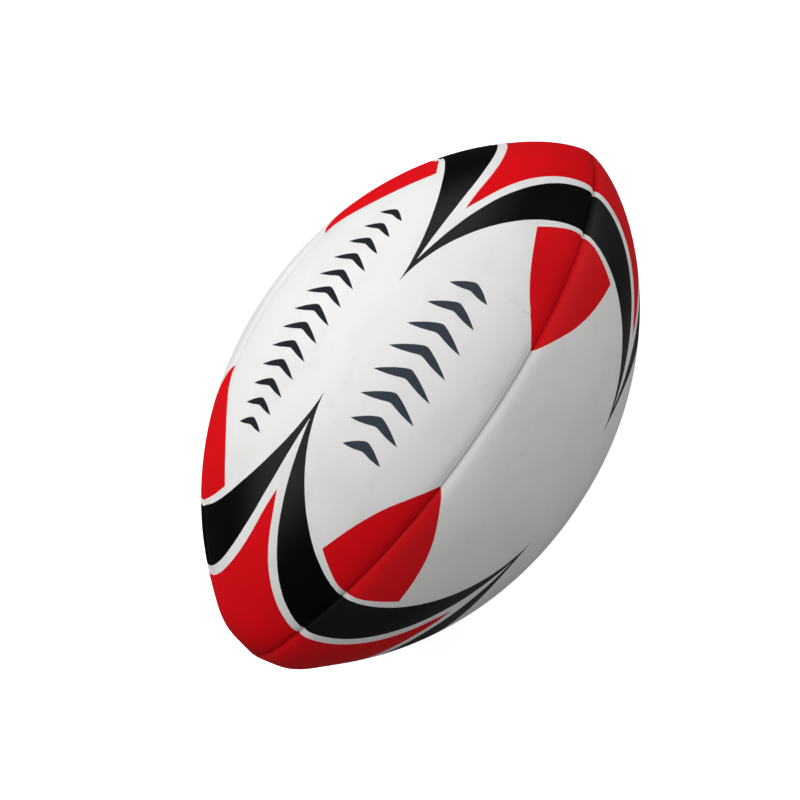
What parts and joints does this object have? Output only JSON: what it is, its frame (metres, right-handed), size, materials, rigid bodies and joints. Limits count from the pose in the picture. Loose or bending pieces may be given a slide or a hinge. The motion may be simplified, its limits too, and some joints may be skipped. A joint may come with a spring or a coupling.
{
  "type": "rugby ball",
  "caption": "Oval inflatable ball of sewn, lined leather-like panels over a rubber bladder, with a removable needle valve plug flush in one panel.",
  "frame": {"origin": "centre of the ball", "axes": "+X along the long axis, point to point; +Z through the middle of the top panel; +Y through the middle of the valve panel and the valve"},
  "size_m": [0.2994, 0.1811, 0.1814],
  "materials": {
    "cover": "smooth synthetic leather, white with red and black printing, satin",
    "lining": "woven polycotton laminate, matt",
    "thread": "waxed polyester thread",
    "bladder": "thin moulded rubber, satin",
    "valve": "moulded rubber, matt",
    "valve_plug": "moulded rubber, matt",
    "patch": "woven cloth, matt"
  },
  "bodies": {
    "ball": {"cover_panel_top": "cover", "cover_panel_front": "cover", "cover_panel_under": "cover", "cover_panel_valve": "cover", "panel_lining_top": "lining", "panel_lining_front": "lining", "panel_lining_under": "lining", "panel_lining_valve": "lining", "seam_thread_1": "thread", "seam_thread_2": "thread", "seam_thread_3": "thread", "seam_thread_4": "thread", "tip_knot_right": "thread", "tip_knot_left": "thread", "bladder": "bladder", "valve_housing": "valve", "valve_patch": "patch"},
    "valve_plug": {"valve_core": "valve_plug"}
  },
  "joints": [
    {"name": "valve_core_pull", "type": "slide", "parent": "ball", "child": "valve_plug", "axis": [0, 1, 0], "range_m": [0, 0.03]}
  ]
}
